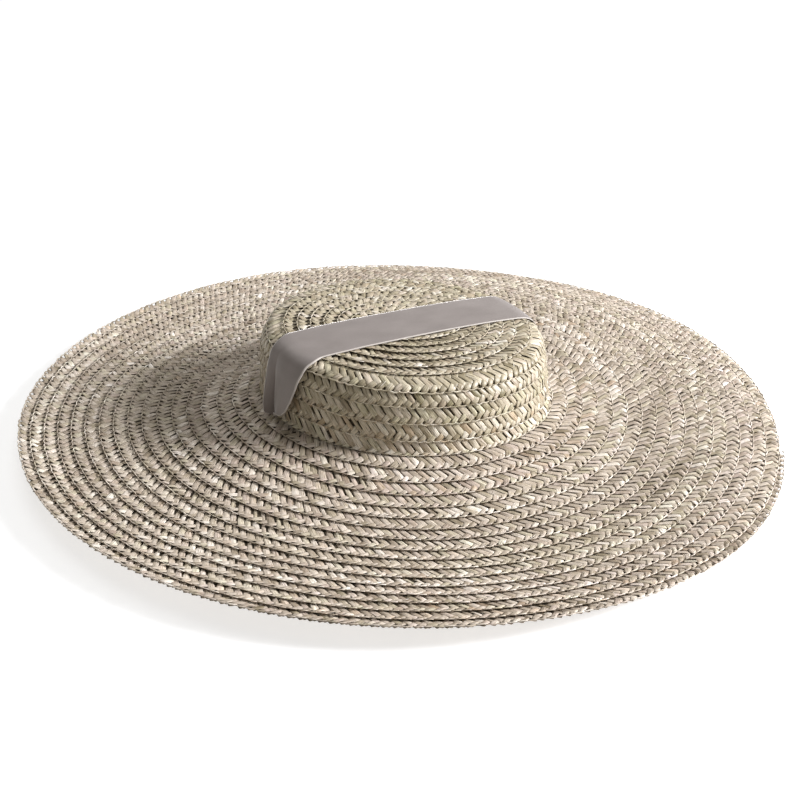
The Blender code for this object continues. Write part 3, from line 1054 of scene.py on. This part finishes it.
for name, first, last, side, slot, material in (
    ("crown_plait", FIRST_TURN, BRIM_TURN, 1.0, "crown_straw", straw_crown_with_shade),
    ("crown_underside", FIRST_TURN, BRIM_TURN, -1.0, "crown_straw", straw_crown_with_shade),
    ("brim_plait_inner", BRIM_TURN, 5.6, 1.0, "brim_straw", straw_brim),
    ("brim_plait_middle", 5.6, 11.2, 1.0, "brim_straw", straw_brim),
    ("brim_plait_outer", 11.2, LAST_TURN, 1.0, "brim_straw", straw_brim),
    ("brim_underside_inner", BRIM_TURN, 8.4, -1.0, "brim_straw", straw_brim),
    ("brim_underside_outer", 8.4, LAST_TURN, -1.0, "brim_straw", straw_brim),
):
    dress(straw_piece(name, first, last, side), material, slot, name.split("_")[0])

# the shells' points, from the crown's top down to its base and out on the brim
crown_runs = np.concatenate((
    np.linspace(-CROWN_LENGTH + 0.6 * MM, -4.0 * MM, 40),
    np.linspace(-FILLET, 0.0, 5),
))
brim_runs = np.concatenate((
    np.linspace(0.0, FILLET, 5),
    np.linspace(6.0 * MM, 157.5 * MM, 36),
))
# the shells wear the near-black under material, which paints the shade between the straws
dress(shell_piece("crown_base", crown_runs), under, "crown_straw", "crown")
dress(shell_piece("brim_base", brim_runs), under, "brim_straw", "brim")

ribbon, ribbon_length = make_ribbon()
dress(ribbon, ribbon_material(), "ribbon_cloth", "ribbon")

# The camera as fitted to the photograph, the lights and the surroundings
CAMERA_SENSOR = 36.0
CAMERA_LENS = 53.56
CAMERA_PLACE = (0.01983, -0.7101, 0.40563)
CAMERA_RIGHT = Vector((0.99872, 0.04554, 0.02196))
CAMERA_UP = Vector((-0.04145, 0.4889, 0.87135))
LIGHTS = (
    # name, place, target, size, power, colour
    ("key", (1.66, 0.06, 0.88), (0.0, 0.0, 0.02), 0.6, 73.0, (0.985, 0.99, 1.03)),
    ("top", (-0.1, 0.5, 1.6), (0.0, 0.0, 0.0), 1.4, 8.0, WHITE),
)
WORLD_COLOUR = (1.0, 0.985, 0.95)
WORLD_STRENGTH = 0.28
FLOOR_GLOW = 0.62


def make_floor():
    """Plain pale floor."""
    bpy.ops.mesh.primitive_plane_add(size=12.0, location=(0.0, 2.0, 0.0))
    floor = bpy.context.object
    floor.name = "floor"
    material, tree, shader = new_material("floor")
    coordinates = tree.nodes.new("ShaderNodeTexCoord")
    soft = mapped_noise(tree, coordinates.outputs["Object"], (2.0, 2.0, 2.0), 2.0)
    tree.links.new(ramp(tree, soft, FLOOR_TONES), shader.inputs["Base Color"])
    shader.inputs["Roughness"].default_value = 0.9
    shader.inputs["Specular IOR Level"].default_value = 0.1
    shader.inputs["Emission Color"].default_value = (*WHITE, 1.0)
    shader.inputs["Emission Strength"].default_value = FLOOR_GLOW
    floor.data.materials.append(material)


def add_light(name, place, target, size, power, colour):
    """Square area light that looks at a target."""
    light = bpy.data.lights.new(name, "AREA")
    light.shape = "SQUARE"
    light.size = size
    light.energy = power
    light.color = colour
    thing = add_object(name, light)
    thing.location = place
    thing.rotation_mode = "QUATERNION"
    thing.rotation_quaternion = (Vector(target) - Vector(place)).to_track_quat("-Z", "Y")


def make_camera():
    """Camera at the photograph's viewing angle."""
    camera = bpy.data.cameras.new("camera")
    camera.sensor_width = CAMERA_SENSOR
    camera.lens = CAMERA_LENS
    thing = add_object("camera", camera)
    turn = Matrix((CAMERA_RIGHT, CAMERA_UP, CAMERA_RIGHT.cross(CAMERA_UP))).transposed()
    x, y, z = CAMERA_PLACE
    thing.matrix_world = Matrix.Translation((x, y, z + LIFT)) @ turn.to_4x4()
    bpy.context.scene.camera = thing


def make_world():
    """Even light from all round, and plain colours."""
    world = bpy.data.worlds.new("studio")
    bpy.context.scene.world = world
    world.use_nodes = True
    background = world.node_tree.nodes["Background"]
    background.inputs["Color"].default_value = (*WORLD_COLOUR, 1.0)
    background.inputs["Strength"].default_value = WORLD_STRENGTH
    bpy.context.scene.view_settings.view_transform = "Standard"


make_floor()
make_camera()
for light in LIGHTS:
    add_light(*light)
make_world()
